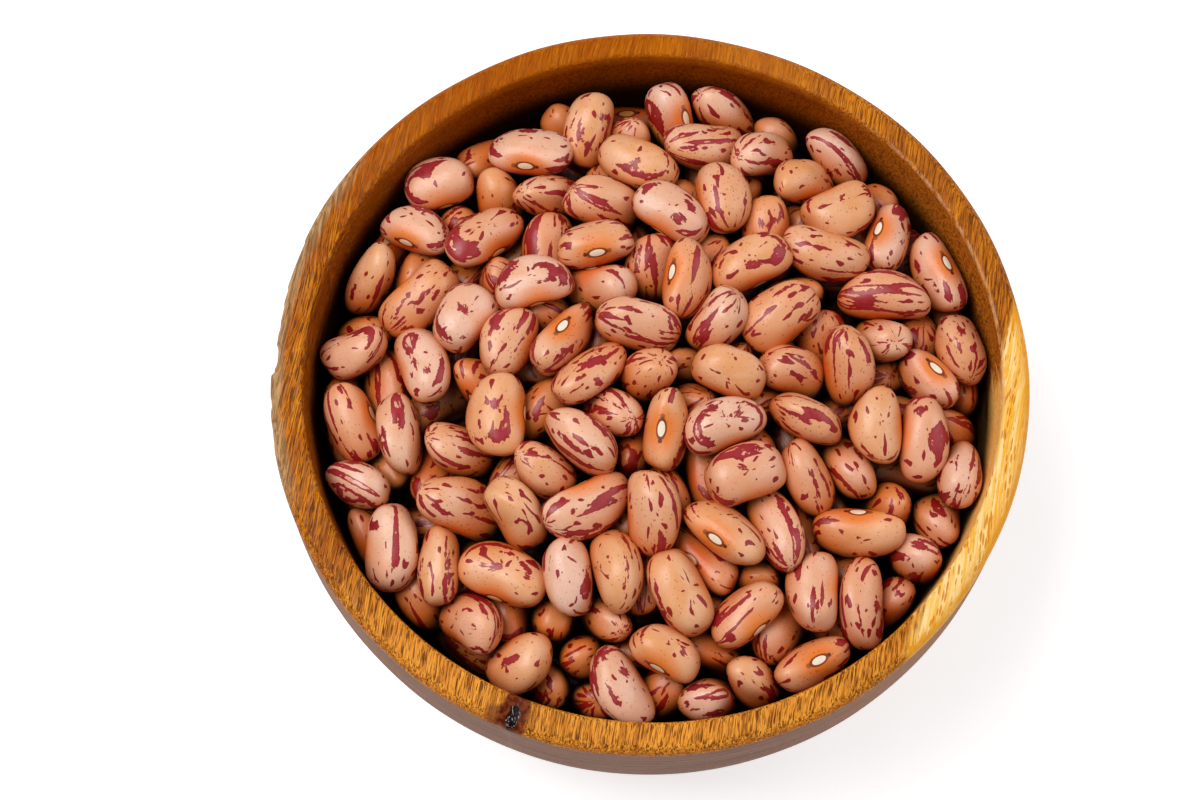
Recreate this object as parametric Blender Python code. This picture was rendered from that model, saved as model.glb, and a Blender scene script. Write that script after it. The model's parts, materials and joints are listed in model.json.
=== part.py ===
"""A turned wooden bowl filled with dried beans.

Metres, +Z up. The origin is at the middle of the flat foot. The front of the bowl faces -Y.
"""
import math
import random

import bmesh
import bpy
import numpy as np
from mathutils import Matrix, Vector

# The bowl, turned from one block of wood
RIM_RADIUS = 0.070
RIM_HEIGHT = 0.060
RIM_CORNER = 0.0022
WALL_STRAIGHT = 0.0130
FOOT_RADIUS = 0.031
HOLLOW_RADIUS = 0.0641
HOLLOW_DEPTH = 0.050
HOLLOW_CORNER = 0.0006
HOLLOW_SHIFT = (0.0006, 0.0002)
BOWL_SEGMENTS = 56
SIDE_STEPS = 8
HOLLOW_STEPS = 12
CORNER_TURNS = (0, 30, 60, 90)

# The dried beans: length, width and thickness, and how far each strays from its mean
BEANS = 292
BEAN_SIZE = np.array((0.0151, 0.0096, 0.0080))
BEAN_STRAY = np.array((0.0026, 0.0012, 0.0009))
BEAN_BEND = 0.0011
BEND_LEVEL = 0.35
BEAN_SEED = 11

# The balls that stand for a bean: their size, place and bend, as shares of the bean's own
END_BALL = 0.97
END_BALL_BEND = 0.5
SIDE_BALL_PLACE = 0.42
SIDE_BALL_BEND = -0.3
TURNING_EASE = 5.0

# The heap: how far its top lies over the rim in the middle and under it at the wall
HEAP_RISE = 0.0032
HEAP_FALL = 0.0110
LAYERS_DEPTH = 0.0260
LID_RISE = 0.0020
WALL_GAP = 0.0004

# How the beans settle: first in loose levels, then sinking and nudging their neighbours
FIRST_LEVEL = 0.6
LEVEL_STEP = 0.0105
LEVEL_SPACING = 0.0118
LEVEL_TRIES = 260
SINK_SWEEPS = 560
REST_SWEEPS = 140
SINK_STEP = 0.0003
SLOWING = 2.5
NEIGHBOUR_SWEEPS = 6
GRIP = 0.35
NEAR = 0.0195
EASE = 0.65
MOST_TURN = 0.15

# The solid heap: the beans that show, fused to a core
CORE_DEPTH = 0.0080
CORE_GAP = 0.0006
CORE_SEGMENTS = 30
CORE_RINGS = 6
CORE_SIDE_STEPS = 7
GRID_STEP = 0.001
SHOWING_CELLS = 28
BEAN_SIDES = 6
BEAN_STATIONS = (-0.66, 0.0, 0.66)
BEAN_GIRTHS = (0.95, 1.17, 0.95)


def clear_scene():
    for thing in list(bpy.data.objects):
        bpy.data.objects.remove(thing, do_unlink=True)


def material(name, colour, roughness):
    made = bpy.data.materials.new(name)
    made.use_nodes = True
    shader = made.node_tree.nodes["Principled BSDF"]
    shader.inputs["Base Color"].default_value = (*colour, 1.0)
    shader.inputs["Roughness"].default_value = roughness
    shader.inputs["Metallic"].default_value = 0.0
    return made


def wood():
    return material("golden_brown_wood", (0.46, 0.19, 0.05), 0.55)


def bean_skin():
    return material("dried_bean_skin", (0.55, 0.25, 0.16), 0.45)


def hollow_radius(height):
    """Distance of the hollow's wall from its middle at a height."""
    share = min(max((RIM_HEIGHT - height) / HOLLOW_DEPTH, 0.0), 1.0)
    return HOLLOW_RADIUS * math.sqrt(math.sqrt(1.0 - share * share))


def heap_height(square):
    """Height that the tops of the beans reach, from the squared distance from the middle."""
    return RIM_HEIGHT + HEAP_RISE - HEAP_FALL * square / (HOLLOW_RADIUS * HOLLOW_RADIUS)


def add_object(name, mesh, skin):
    made = bpy.data.objects.new(name, mesh)
    bpy.context.collection.objects.link(made)
    mesh.materials.append(skin)
    return made


def bowl_outside():
    """The outer side from the middle of the foot up to the flat of the rim."""
    points = [(0.0, 0.0), (FOOT_RADIUS, 0.0)]
    shoulder = RIM_HEIGHT - RIM_CORNER - WALL_STRAIGHT
    for step in range(1, SIDE_STEPS + 1):
        angle = math.radians(90 * (1 - step / SIDE_STEPS))
        radius = FOOT_RADIUS + (RIM_RADIUS - FOOT_RADIUS) * math.cos(angle)
        points.append((radius, shoulder - shoulder * math.sin(angle)))
    for turn in CORNER_TURNS:
        angle = math.radians(turn)
        radius = RIM_RADIUS - RIM_CORNER + RIM_CORNER * math.cos(angle)
        points.append((radius, RIM_HEIGHT - RIM_CORNER + RIM_CORNER * math.sin(angle)))
    return points


def bowl_hollow():
    """The hollow from the flat of the rim down to the middle of its floor."""
    points = [(HOLLOW_RADIUS + HOLLOW_CORNER, RIM_HEIGHT)]
    for step in range(1, HOLLOW_STEPS):
        angle = math.radians(90 * step / HOLLOW_STEPS)
        height = RIM_HEIGHT - HOLLOW_DEPTH * math.sin(angle)
        points.append((hollow_radius(height), height))
    points.append((0.0, RIM_HEIGHT - HOLLOW_DEPTH))
    return points


def bowl():
    shape = bmesh.new()
    inner = shape.verts.layers.int.new("inner")
    outside = bowl_outside()
    profile = outside + bowl_hollow()
    places = [shape.verts.new((radius, 0.0, height)) for radius, height in profile]
    edges = [shape.edges.new(pair) for pair in zip(places, places[1:])]
    for place in places[len(outside):]:
        place[inner] = 1
    bmesh.ops.spin(
        shape, geom=places + edges, cent=(0, 0, 0), axis=(0, 0, 1),
        angle=math.tau, steps=BOWL_SEGMENTS, use_merge=True)
    bmesh.ops.remove_doubles(shape, verts=shape.verts, dist=0.00001)
    for place in shape.verts:
        if place[inner]:
            place.co.x += HOLLOW_SHIFT[0]
            place.co.y += HOLLOW_SHIFT[1]
    bmesh.ops.recalc_face_normals(shape, faces=shape.faces)
    mesh = bpy.data.meshes.new("bowl")
    shape.to_mesh(mesh)
    shape.free()
    mesh.shade_smooth()
    mesh.set_sharp_from_angle(angle=math.radians(40))
    return add_object("bowl", mesh, wood())


def dot(p, q):
    return p[..., 0] * q[..., 0] + p[..., 1] * q[..., 1] + p[..., 2] * q[..., 2]


def cross(p, q):
    return np.stack((
        p[..., 1] * q[..., 2] - p[..., 2] * q[..., 1],
        p[..., 2] * q[..., 0] - p[..., 0] * q[..., 2],
        p[..., 0] * q[..., 1] - p[..., 1] * q[..., 0]), -1)


def squared_up(x, y):
    """Axes of length one at right angles, the first along x and the second near y."""
    x = x / np.sqrt(dot(x, x))[:, None]
    y = y - x * dot(x, y)[:, None]
    y = y / np.sqrt(dot(y, y))[:, None]
    return x, y


class Beans:
    """All the beans of the heap. Six balls along its curve stand for each, two at the ends
    and four in the middle, so that a bean meets its neighbours as its own shape would."""

    def __init__(self, seed):
        self.rng = random.Random(seed)
        self.half = 0.5 * (BEAN_SIZE + 0.5 * BEAN_STRAY * (self.draws(BEANS, 3) + self.draws(BEANS, 3)))
        self.centre = self.loose_levels()
        self.x, self.y = squared_up(self.draws(BEANS, 3) * (1.0, 1.0, 0.5), self.draws(BEANS, 3))
        length, width, thick = self.half.T
        level = np.zeros(BEANS)
        offsets = []
        radii = []
        for end in (-1, 1):
            offsets.append((end * (length - END_BALL * thick), level + END_BALL_BEND * BEAN_BEND))
            radii.append(END_BALL * thick)
            for side in (-1, 1):
                along = end * SIDE_BALL_PLACE * (length - thick)
                offsets.append((along, side * (width - thick) + SIDE_BALL_BEND * BEAN_BEND))
                radii.append(thick)
        self.offsets = np.array(offsets).transpose(2, 0, 1)
        self.radii = np.array(radii).T
        self.ease_of_turning = TURNING_EASE / (length * length + width * width)

    def draws(self, *shape):
        count = math.prod(shape)
        return np.array([2.0 * self.rng.random() - 1.0 for _ in range(count)]).reshape(shape)

    def loose_levels(self):
        limit = HOLLOW_RADIUS - BEAN_SIZE[2]
        places = []
        height = FIRST_LEVEL * LEVEL_STEP - LAYERS_DEPTH
        while len(places) < BEANS:
            level = []
            for x, y in self.draws(LEVEL_TRIES, 2) * limit:
                square = x * x + y * y
                spaced = all((x - p) ** 2 + (y - q) ** 2 > LEVEL_SPACING ** 2 for p, q, _ in level)
                if square < limit * limit and spaced:
                    level.append((x, y, heap_height(square) + height))
            places += level
            height += LEVEL_STEP
        return np.array(places[:BEANS])

    def arms(self):
        """From each bean's middle to its balls."""
        along = self.x[:, None, :] * self.offsets[:, :, 0:1]
        across = self.y[:, None, :] * self.offsets[:, :, 1:2]
        return along + across

    def push(self, owner, arm, way, depth):
        """Moves and turns beans so that each contact along way gives by its depth."""
        lever = cross(arm, way)
        for axis in range(3):
            self.move[:, axis] += np.bincount(owner, depth * way[:, axis], BEANS)
            turned = depth * lever[:, axis] * self.ease_of_turning[owner]
            self.turn[:, axis] += np.bincount(owner, turned, BEANS)

    def yielding(self, owner, arm, way):
        lever = cross(arm, way)
        return 1.0 + dot(lever, lever) * self.ease_of_turning[owner]

    def meet_neighbours(self, arms, balls, first, second):
        apart = balls[first][:, :, None, :] - balls[second][:, None, :, :]
        distance = np.sqrt(dot(apart, apart)) + 1e-9
        depth = self.radii[first][:, :, None] + self.radii[second][:, None, :] - distance
        pair, p, q = np.nonzero(depth > 0)
        way = apart[pair, p, q] / distance[pair, p, q][:, None]
        shared = np.sqrt(np.bincount(pair, minlength=len(first))[pair])
        one, other = first[pair], second[pair]
        give = self.yielding(one, arms[one, p], way) + self.yielding(other, arms[other, q], way)
        depth = depth[pair, p, q] / (give * shared)
        self.push(one, arms[one, p], way, depth)
        self.push(other, arms[other, q], -way, depth)

    def meet_bowl(self, arms, balls):
        """Keeps every ball inside the wall, over the core and under the lid of the heap."""
        owner = np.repeat(np.arange(BEANS), self.radii.shape[1])
        arm = arms.reshape(-1, 3)
        ball = balls.reshape(-1, 3)
        size = self.radii.reshape(-1)
        square = ball[:, 0] * ball[:, 0] + ball[:, 1] * ball[:, 1]
        away = np.sqrt(square) + 1e-9
        level = np.zeros(len(ball))
        share = np.clip((RIM_HEIGHT - ball[:, 2]) / HOLLOW_DEPTH, 0.0, 0.99)
        room = HOLLOW_RADIUS * np.sqrt(np.sqrt(1.0 - share * share)) - WALL_GAP
        top = heap_height(square)
        limits = (
            (away + size - room, np.stack((-ball[:, 0] / away, -ball[:, 1] / away, level), -1)),
            (top - LAYERS_DEPTH + size - ball[:, 2], np.stack((level, level, level + 1.0), -1)),
            (ball[:, 2] + size - top - LID_RISE, np.stack((level, level, level - 1.0), -1)))
        for depth, way in limits[:2 + self.lid_on]:
            hit = np.nonzero(depth > 0)[0]
            give = self.yielding(owner[hit], arm[hit], way[hit])
            self.push(owner[hit], arm[hit], way[hit], depth[hit] / give)

    def settle(self):
        slope = -2.0 * GRIP * HEAP_FALL / (HOLLOW_RADIUS * HOLLOW_RADIUS)
        for sweep in range(SINK_SWEEPS + REST_SWEEPS):
            left = max(0.0, 1.0 - sweep / SINK_SWEEPS)
            sink = SINK_STEP * min(1.0, SLOWING * left)
            self.lid_on = sweep > SINK_SWEEPS // 2
            down = np.stack((slope * self.centre[:, 0], slope * self.centre[:, 1], -np.ones(BEANS)), -1)
            self.centre = self.centre + sink * down
            if sweep % NEIGHBOUR_SWEEPS == 0:
                apart = self.centre[:, None, :] - self.centre[None, :, :]
                first, second = np.nonzero(np.triu(dot(apart, apart) < NEAR * NEAR, 1))
            self.move = np.zeros((BEANS, 3))
            self.turn = np.zeros((BEANS, 3))
            arms = self.arms()
            balls = self.centre[:, None, :] + arms
            self.meet_neighbours(arms, balls, first, second)
            self.meet_bowl(arms, balls)
            self.centre = np.round(self.centre + EASE * self.move, 7)
            turn = EASE * self.turn
            turn = turn * np.minimum(1.0, MOST_TURN / (np.sqrt(dot(turn, turn)) + 1e-9))[:, None]
            x, y = squared_up(self.x + cross(turn, self.x), self.y + cross(turn, self.y))
            self.x, self.y = np.round(x, 6), np.round(y, 6)

    def axes(self, number):
        """The bean's length, width and thickness directions, as columns."""
        x, y = squared_up(self.x[number:number + 1], self.y[number:number + 1])
        return np.stack((x[0], y[0], cross(x, y)[0]), -1)

    def showing(self):
        """How many cells of a fine grid each bean fills, seen from above."""
        cells = int(2 * HOLLOW_RADIUS / GRID_STEP) + 2
        line = (np.arange(cells) - cells / 2) * GRID_STEP
        x, y = np.meshgrid(line, line, indexing="ij")
        highest = np.full(x.shape, -1.0)
        owner = np.full(x.shape, -1)
        for number in range(BEANS):
            place = self.centre[number]
            axes = self.axes(number)
            dx, dy = x - place[0], y - place[1]
            shares = axes / (self.half[number] * self.half[number])
            xx, xy, xz = (dot(shares[0], row) for row in axes)
            yy, yz = (dot(shares[1], row) for row in axes[1:])
            zz = dot(shares[2], axes[2])
            b = xz * dx + yz * dy
            c = xx * dx * dx + 2 * xy * dx * dy + yy * dy * dy - 1.0
            root = b * b - zz * c
            top = place[2] + (np.sqrt(np.maximum(root, 0.0)) - b) / zz
            wins = (root > 0) & (top > highest)
            highest[wins] = top[wins]
            owner[wins] = number
        return np.bincount(owner[owner >= 0], minlength=BEANS)


def bean_places(place, axes, half_size):
    """Corners of a few-sided kidney shape, station by station from one end to the other."""
    half_length, half_width, half_thick = (float(size) for size in half_size)
    turn = Matrix(axes.tolist())
    place = Vector(place.tolist())
    rings = []
    for station, girth in zip(BEAN_STATIONS, BEAN_GIRTHS):
        ring = []
        middle = BEAN_BEND * (station * station - BEND_LEVEL)
        for side in range(BEAN_SIDES):
            angle = math.tau * (side + 0.5) / BEAN_SIDES
            local = Vector((
                station * half_length,
                middle + girth * half_width * math.cos(angle),
                girth * half_thick * math.sin(angle)))
            ring.append(turn @ local + place)
        rings.append(ring)
    tip = BEAN_BEND * (1.0 - BEND_LEVEL)
    ends = [turn @ Vector((sign * half_length, tip, 0.0)) + place for sign in (-1, 1)]
    return rings, ends


def kept_inside(point):
    """The same point, pulled in where it would touch the wall of the hollow."""
    radius = math.hypot(point.x, point.y)
    room = hollow_radius(min(point.z, RIM_HEIGHT - 0.0001)) - WALL_GAP
    if radius > room:
        point = Vector((point.x * room / radius, point.y * room / radius, point.z))
    return point


def bean_object(collection, number, place, axes, half_size):
    rings, ends = bean_places(place, axes, half_size)
    shape = bmesh.new()
    loops = [[shape.verts.new(kept_inside(point)) for point in ring] for ring in rings]
    tips = [shape.verts.new(kept_inside(point)) for point in ends]
    for near, far in zip(loops, loops[1:]):
        for side in range(BEAN_SIDES):
            after = (side + 1) % BEAN_SIDES
            shape.faces.new((near[side], near[after], far[after], far[side]))
    for side in range(BEAN_SIDES):
        after = (side + 1) % BEAN_SIDES
        shape.faces.new((tips[0], loops[0][after], loops[0][side]))
        shape.faces.new((tips[1], loops[-1][side], loops[-1][after]))
    bmesh.ops.triangulate(shape, faces=shape.faces)
    bmesh.ops.recalc_face_normals(shape, faces=shape.faces)
    mesh = bpy.data.meshes.new("bean_%03d" % number)
    shape.to_mesh(mesh)
    shape.free()
    made = bpy.data.objects.new(mesh.name, mesh)
    collection.objects.link(made)


def core_mesh():
    """What lies under the beans that show, down to the floor of the hollow."""
    top_edge = heap_height(HOLLOW_RADIUS * HOLLOW_RADIUS) - CORE_DEPTH
    edge = hollow_radius(top_edge) - CORE_GAP
    profile = []
    for ring in range(CORE_RINGS + 1):
        radius = edge * ring / CORE_RINGS
        profile.append((radius, heap_height(radius * radius) - CORE_DEPTH))
    profile[-1] = (edge, top_edge)
    floor = RIM_HEIGHT - HOLLOW_DEPTH
    for step in range(1, CORE_SIDE_STEPS):
        share = math.sin(math.radians(90 * step / CORE_SIDE_STEPS))
        height = top_edge + (floor - top_edge) * share
        profile.append((hollow_radius(height) - CORE_GAP, height + CORE_GAP))
    profile.append((0.0, floor + CORE_GAP))
    shape = bmesh.new()
    places = [shape.verts.new((radius, 0.0, height)) for radius, height in profile]
    edges = [shape.edges.new(pair) for pair in zip(places, places[1:])]
    bmesh.ops.spin(
        shape, geom=places + edges, cent=(0, 0, 0), axis=(0, 0, 1),
        angle=math.tau, steps=CORE_SEGMENTS, use_merge=True)
    bmesh.ops.remove_doubles(shape, verts=shape.verts, dist=0.00001)
    bmesh.ops.triangulate(shape, faces=shape.faces)
    bmesh.ops.recalc_face_normals(shape, faces=shape.faces)
    mesh = bpy.data.meshes.new("bean_heap")
    shape.to_mesh(mesh)
    shape.free()
    return mesh


def signed_volume(faces):
    total = 0.0
    for face in faces:
        a, b, c = (corner.co for corner in face.verts)
        total += a.dot(b.cross(c)) / 6.0
    return total


def keep_largest_body(mesh):
    """Drops loose scraps and fills sealed hollows."""
    shape = bmesh.new()
    shape.from_mesh(mesh)
    bmesh.ops.triangulate(shape, faces=shape.faces)
    for face in shape.faces:
        face.tag = False
    bodies = []
    for start in shape.faces:
        if start.tag:
            continue
        start.tag = True
        body = [start]
        for face in body:
            for edge in face.edges:
                for other in edge.link_faces:
                    if not other.tag:
                        other.tag = True
                        body.append(other)
        bodies.append(body)
    bodies.sort(key=signed_volume)
    for body in bodies[:-1]:
        bmesh.ops.delete(shape, geom=body, context="FACES")
    shape.to_mesh(mesh)
    shape.free()


def bean_heap():
    beans = Beans(BEAN_SEED)
    beans.settle()
    shown = beans.showing()
    group = bpy.data.collections.new("beans")
    bpy.context.scene.collection.children.link(group)
    for number in np.nonzero(shown >= SHOWING_CELLS)[0]:
        bean_object(group, number, beans.centre[number], beans.axes(number), beans.half[number])
    heap = add_object("bean_heap", core_mesh(), bean_skin())
    join = heap.modifiers.new("join", "BOOLEAN")
    join.operation = "UNION"
    join.operand_type = "COLLECTION"
    join.collection = group
    join.solver = "MANIFOLD"
    bpy.context.view_layer.update()
    with bpy.context.temp_override(object=heap, active_object=heap, selected_objects=[heap]):
        bpy.ops.object.modifier_apply(modifier=join.name)
    for thing in list(group.objects):
        bpy.data.objects.remove(thing, do_unlink=True)
    bpy.data.collections.remove(group)
    keep_largest_body(heap.data)
    for place in heap.data.vertices:
        place.co.x += HOLLOW_SHIFT[0]
        place.co.y += HOLLOW_SHIFT[1]
    heap.data.shade_smooth()
    heap.data.set_sharp_from_angle(angle=math.radians(50))
    return heap


clear_scene()
bowl()
bean_heap()
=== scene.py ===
import json
import math
import random

import bpy
import numpy as np
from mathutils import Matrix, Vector

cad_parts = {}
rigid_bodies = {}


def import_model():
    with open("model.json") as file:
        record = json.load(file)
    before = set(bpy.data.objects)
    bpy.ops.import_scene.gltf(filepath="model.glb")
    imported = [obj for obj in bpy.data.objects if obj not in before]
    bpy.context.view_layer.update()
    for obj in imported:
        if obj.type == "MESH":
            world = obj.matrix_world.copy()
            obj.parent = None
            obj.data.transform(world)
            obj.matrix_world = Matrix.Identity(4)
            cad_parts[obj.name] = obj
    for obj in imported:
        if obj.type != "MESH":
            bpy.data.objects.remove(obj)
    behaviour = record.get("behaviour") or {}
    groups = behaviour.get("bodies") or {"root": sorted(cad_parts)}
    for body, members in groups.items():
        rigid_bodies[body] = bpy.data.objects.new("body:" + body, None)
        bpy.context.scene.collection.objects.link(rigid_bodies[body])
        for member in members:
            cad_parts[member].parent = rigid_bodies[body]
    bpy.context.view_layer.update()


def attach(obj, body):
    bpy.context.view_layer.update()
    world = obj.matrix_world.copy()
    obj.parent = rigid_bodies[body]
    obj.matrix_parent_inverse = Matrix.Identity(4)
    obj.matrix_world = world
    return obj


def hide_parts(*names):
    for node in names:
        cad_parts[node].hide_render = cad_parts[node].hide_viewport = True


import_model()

scene = bpy.context.scene

# Camera: stands in front of the bowl, half a metre from the middle of its rim, and looks down on
# it steeply through a long lens.
CAMERA_REACH = 0.49
CAMERA_TILT = math.radians(71.7)
CAMERA_ASIDE = math.tan(math.radians(-1.028))
CAMERA_UNDER = math.tan(math.radians(-0.564))
CAMERA_LENS = 80.25
SENSOR_WIDTH = 36.0
NEAREST_SEEN = 0.01
RIM_LEVEL = 0.060

camera = bpy.data.objects.new("camera", bpy.data.cameras.new("camera"))
scene.collection.objects.link(camera)
ahead = Vector((0.0, math.cos(CAMERA_TILT), -math.sin(CAMERA_TILT)))
aside = Vector((1.0, 0.0, 0.0))
above = aside.cross(ahead)
camera.location = Vector((0.0, 0.0, RIM_LEVEL)) - ahead * CAMERA_REACH
look = ahead + aside * CAMERA_ASIDE + above * CAMERA_UNDER
camera.rotation_euler = look.to_track_quat("-Z", "Y").to_euler()
camera.data.sensor_width = SENSOR_WIDTH
camera.data.lens = CAMERA_LENS
camera.data.clip_start = NEAREST_SEEN
scene.camera = camera

# Light: a white room, a large soft window high up behind the bowl's left side, and a fainter one
# on its right.
scene.view_settings.view_transform = "Standard"
ROOM_LIGHT = 0.34
WINDOW_SIZE = 0.60
WINDOWS = (
    ("left_window", Vector((-0.42, 0.08, 0.88)), 7.9),
    ("right_window", Vector((0.66, 0.16, 0.60)), 2.2))

room = bpy.data.worlds.new("white_room")
room.use_nodes = True
room.node_tree.nodes["Background"].inputs["Color"].default_value = (1.0, 1.0, 1.0, 1.0)
room.node_tree.nodes["Background"].inputs["Strength"].default_value = ROOM_LIGHT
scene.world = room
for name, place, power in WINDOWS:
    window = bpy.data.objects.new(name, bpy.data.lights.new(name, "AREA"))
    window.data.size = WINDOW_SIZE
    window.data.energy = power
    window.location = place
    toward_bowl = Vector((0.0, 0.0, RIM_LEVEL)) - place
    window.rotation_euler = toward_bowl.to_track_quat("-Z", "Y").to_euler()
    scene.collection.objects.link(window)


# Floor: a plain pale table top under the bowl. It glows a little, so that the white room behind
# the bowl stays white.
def deselect_all():
    for thing in list(bpy.context.selected_objects):
        thing.select_set(False)


def made_object(name):
    thing = bpy.context.active_object
    thing.name = name
    thing.data.name = name
    return thing


def into_mesh(thing):
    """Puts the object's place and turn into its mesh, so that it sits at the origin."""
    deselect_all()
    thing.select_set(True)
    bpy.context.view_layer.objects.active = thing
    bpy.ops.object.transform_apply(location=True, rotation=True, scale=True)


class Finish:
    """A material that is put together node by node."""

    def __init__(self, name):
        self.material = bpy.data.materials.new(name)
        self.material.use_nodes = True
        self.tree = self.material.node_tree
        self.shader = self.tree.nodes["Principled BSDF"]

    def join(self, value, socket):
        if isinstance(value, bpy.types.NodeSocket):
            self.tree.links.new(value, socket)
        else:
            socket.default_value = value

    def node(self, kind, **settings):
        made = self.tree.nodes.new("ShaderNode" + kind)
        for name, value in settings.items():
            setattr(made, name, value)
        return made

    def sum_of(self, operation, first, second=0.0, third=0.0):
        made = self.node("Math", operation=operation)
        for socket, value in zip(made.inputs, (first, second, third)):
            self.join(value, socket)
        return made.outputs[0]

    def plus(self, first, second):
        return self.sum_of("ADD", first, second)

    def minus(self, first, second):
        return self.sum_of("SUBTRACT", first, second)

    def times(self, first, second):
        return self.sum_of("MULTIPLY", first, second)

    def over(self, first, second):
        return self.sum_of("DIVIDE", first, second)

    def added(self, value, pattern, weight):
        """The value, with a pattern that runs from 0 to 1 added around its middle."""
        return self.plus(value, self.times(self.minus(pattern, 0.5), weight))

    def length_of(self, first, second):
        """Length of the long side of a right-angled triangle, from its two short sides."""
        return self.sum_of("SQRT", self.plus(self.times(first, first), self.times(second, second)))

    def vector_of(self, operation, first, second):
        made = self.node("VectorMath", operation=operation)
        self.join(first, made.inputs[0])
        self.join(second, made.inputs[1])
        return made.outputs[0]

    def stretched(self, place, scale, turn=(0.0, 0.0, 0.0)):
        made = self.node("Mapping")
        self.join(place, made.inputs["Vector"])
        made.inputs["Rotation"].default_value = turn
        made.inputs["Scale"].default_value = scale
        return made.outputs[0]

    def parts(self, vector):
        made = self.node("SeparateXYZ")
        self.join(vector, made.inputs[0])
        return made.outputs

    def joined(self, x, y, z):
        made = self.node("CombineXYZ")
        for socket, value in zip(made.inputs, (x, y, z)):
            self.join(value, socket)
        return made.outputs[0]

    def noise(self, place, scale=1.0, detail=2.0, rough=0.5, warp=0.0):
        made = self.node("TexNoise")
        self.join(place, made.inputs["Vector"])
        self.join(scale, made.inputs["Scale"])
        self.join(detail, made.inputs["Detail"])
        self.join(rough, made.inputs["Roughness"])
        self.join(warp, made.inputs["Distortion"])
        return made.outputs[0]

    def cells(self, place, scale=1.0):
        made = self.node("TexVoronoi")
        self.join(place, made.inputs["Vector"])
        self.join(scale, made.inputs["Scale"])
        return made.outputs

    def slope(self, value, low, high, first=0.0, last=1.0):
        """Goes smoothly from first to last while the value goes from low to high."""
        made = self.node("MapRange", interpolation_type="SMOOTHSTEP")
        for name, given in (("Value", value), ("From Min", low), ("From Max", high),
                            ("To Min", first), ("To Max", last)):
            self.join(given, made.inputs[name])
        return made.outputs[0]

    def mixed(self, share, first, second, blend="MIX"):
        made = self.node("Mix", data_type="RGBA", blend_type=blend)
        self.join(share, made.inputs[0])
        for value, socket in ((first, made.inputs[6]), (second, made.inputs[7])):
            if not isinstance(value, bpy.types.NodeSocket):
                value = (*value, 1.0)
            self.join(value, socket)
        return made.outputs[2]

    def relief(self, height, distance, strength=1.0, under=None):
        made = self.node("Bump")
        self.join(height, made.inputs["Height"])
        made.inputs["Distance"].default_value = distance
        made.inputs["Strength"].default_value = strength
        if under is not None:
            self.join(under, made.inputs["Normal"])
        return made.outputs[0]

    def attribute(self, name):
        return self.node("Attribute", attribute_name=name).outputs

    def objects(self):
        return self.node("TexCoord").outputs["Object"]

    def show(self, colour, roughness, normal):
        self.join(colour, self.shader.inputs["Base Color"])
        self.join(roughness, self.shader.inputs["Roughness"])
        self.join(normal, self.shader.inputs["Normal"])
        return self.material


def from_screen(red, green, blue):
    """Colour as a shader takes it, from its 0 to 255 values on a screen."""
    shares = (red / 255.0, green / 255.0, blue / 255.0)
    return tuple(s / 12.92 if s <= 0.04045 else ((s + 0.055) / 1.055) ** 2.4 for s in shares)


FLOOR_SIZE = 6.0
FLOOR_GLOW = 0.56
FLOOR_GREYS = ((0.72, 0.72, 0.72), (0.76, 0.76, 0.76))
FLOOR_SPECKS = 60.0

deselect_all()
bpy.ops.mesh.primitive_plane_add(size=FLOOR_SIZE, location=(0.0, 0.0, 0.0))
floor = made_object("table_top")
floor_finish = Finish("pale_table")
floor_speck = floor_finish.noise(floor_finish.objects(), FLOOR_SPECKS, 3.0)
floor.data.materials.append(floor_finish.show(
    floor_finish.mixed(floor_speck, *FLOOR_GREYS), 0.85, floor_finish.relief(floor_speck, 0.0001)))
floor_finish.shader.inputs["Emission Color"].default_value = (1.0, 1.0, 1.0, 1.0)
floor_finish.shader.inputs["Emission Strength"].default_value = FLOOR_GLOW


# Bowl: one block of golden brown wood, turned on a lathe and waxed, with the grain running from
# front to back. Pale sapwood crosses its right side, and a dark knot sits in the rim at the front.
RIM_RADIUS = 0.070
RIM_ROUND = 0.0022
SIDE_STRAIGHT = 0.0130
FOOT_RADIUS = 0.031
HOLLOW_RADIUS = 0.0641
HOLLOW_DEPTH = 0.050
HOLLOW_SHIFT = Vector((0.0006, 0.0002, 0.0))
HOLLOW_ROUND = 0.0009
BOWL_SEGMENTS = 640
TURN_STEP = 3
RIM_TURN_STEP = 10
CORNER_TURN_STEP = 15
STRAIGHT_RINGS = 8
FOOT_RING = 0.0245
FOOT_EDGE = 0.0012
FOOT_SUNK = 0.0006
FOOT_STEP = 0.0006
FOOT_INSETS = (0.15, 0.21, 0.27)
HOLLOW_INSETS = (0.3, 0.3, 0.2)
KNOT = Vector((-0.0207, -0.0643, 0.060))
UNSHIFTED = Vector((0.0, 0.0, 0.0))
TOUCHING = 1e-5
SAME_PLACE = 1e-6
SHARPEST_SMOOTH = math.radians(50.0)


def hollow_radius(height, deepest=1.0):
    """Distance of the hollow's wall from its middle at a height, or at an array of them. Deepest
    is the share of the hollow's depth that the wall is followed down to."""
    share = np.clip((RIM_LEVEL - height) / HOLLOW_DEPTH, 0.0, deepest)
    return HOLLOW_RADIUS * np.sqrt(np.sqrt(1.0 - share * share))


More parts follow.
